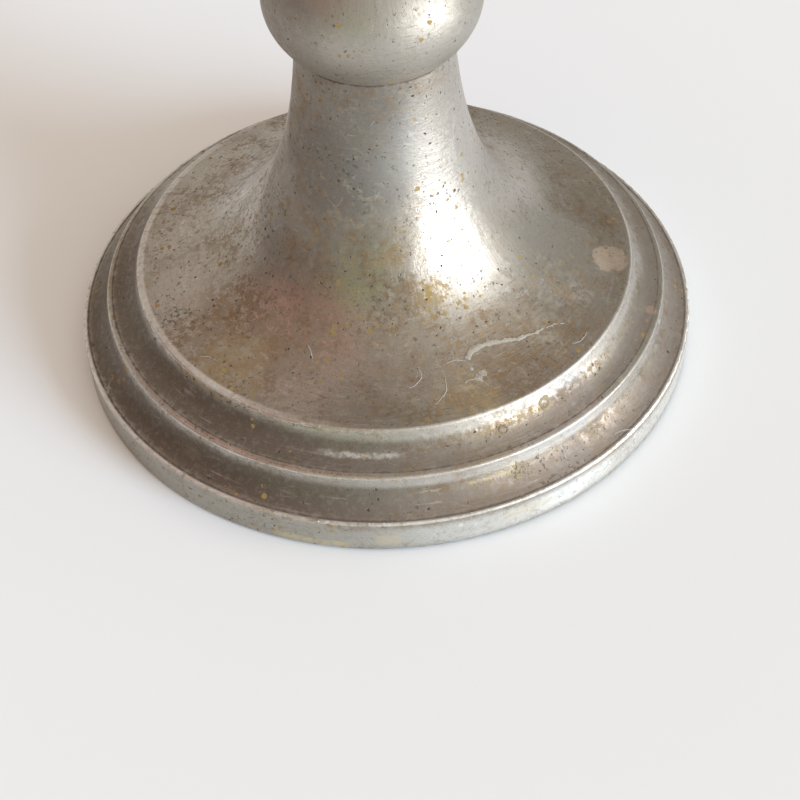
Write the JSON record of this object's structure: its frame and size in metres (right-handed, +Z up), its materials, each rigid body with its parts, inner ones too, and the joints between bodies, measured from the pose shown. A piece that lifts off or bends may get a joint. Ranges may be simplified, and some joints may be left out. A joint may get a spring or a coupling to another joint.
{
  "type": "pillar candle holder",
  "caption": "Turned metal candle holder with a stepped round foot, trumpet flare, ball knop, baluster stem and a lift-off drip pan with a central pricket.",
  "frame": {"origin": "centre of the underside, in the plane where the felt pad rests on the table", "axes": "+Z up along the turning axis, from the foot to the pricket's point; +X and +Y are arbitrary on a turned object"},
  "size_m": [0.112, 0.112, 0.2077],
  "materials": {
    "worn_plate": "satin nickel or silver plate over brass, turned, worn and pitted, with ochre tarnish",
    "pricket_steel": "turned steel, dull, with a trace of old wax",
    "bare_brass": "turned brass, unplated and slightly tarnished",
    "zinc_steel": "zinc-plated steel, dull",
    "cover_steel": "steel sheet with thin black paint",
    "raw_iron": "raw cast iron, grey and grainy",
    "felt": "pressed wool felt, dark green"
  },
  "bodies": {
    "stand": {"base_shell": "worn_plate", "ballast_ring": "raw_iron", "base_cover": "cover_steel", "cover_screws": "zinc_steel", "felt_pad": "felt", "tie_rod": "zinc_steel", "rod_washer": "zinc_steel", "rod_spring_washer": "zinc_steel", "rod_nut": "zinc_steel", "lower_knop": "worn_plate", "lower_collar": "worn_plate", "stem_column": "worn_plate", "upper_collar": "worn_plate", "upper_knop": "worn_plate", "socket_head": "worn_plate"},
    "pan": {"drip_pan": "worn_plate", "pan_spigot": "bare_brass", "pricket": "pricket_steel", "pricket_washer": "bare_brass"}
  },
  "joints": [
    {"name": "pan_lift", "type": "slide", "parent": "stand", "child": "pan", "axis": [0, 0, 1], "range_m": [0, 0.025]}
  ]
}
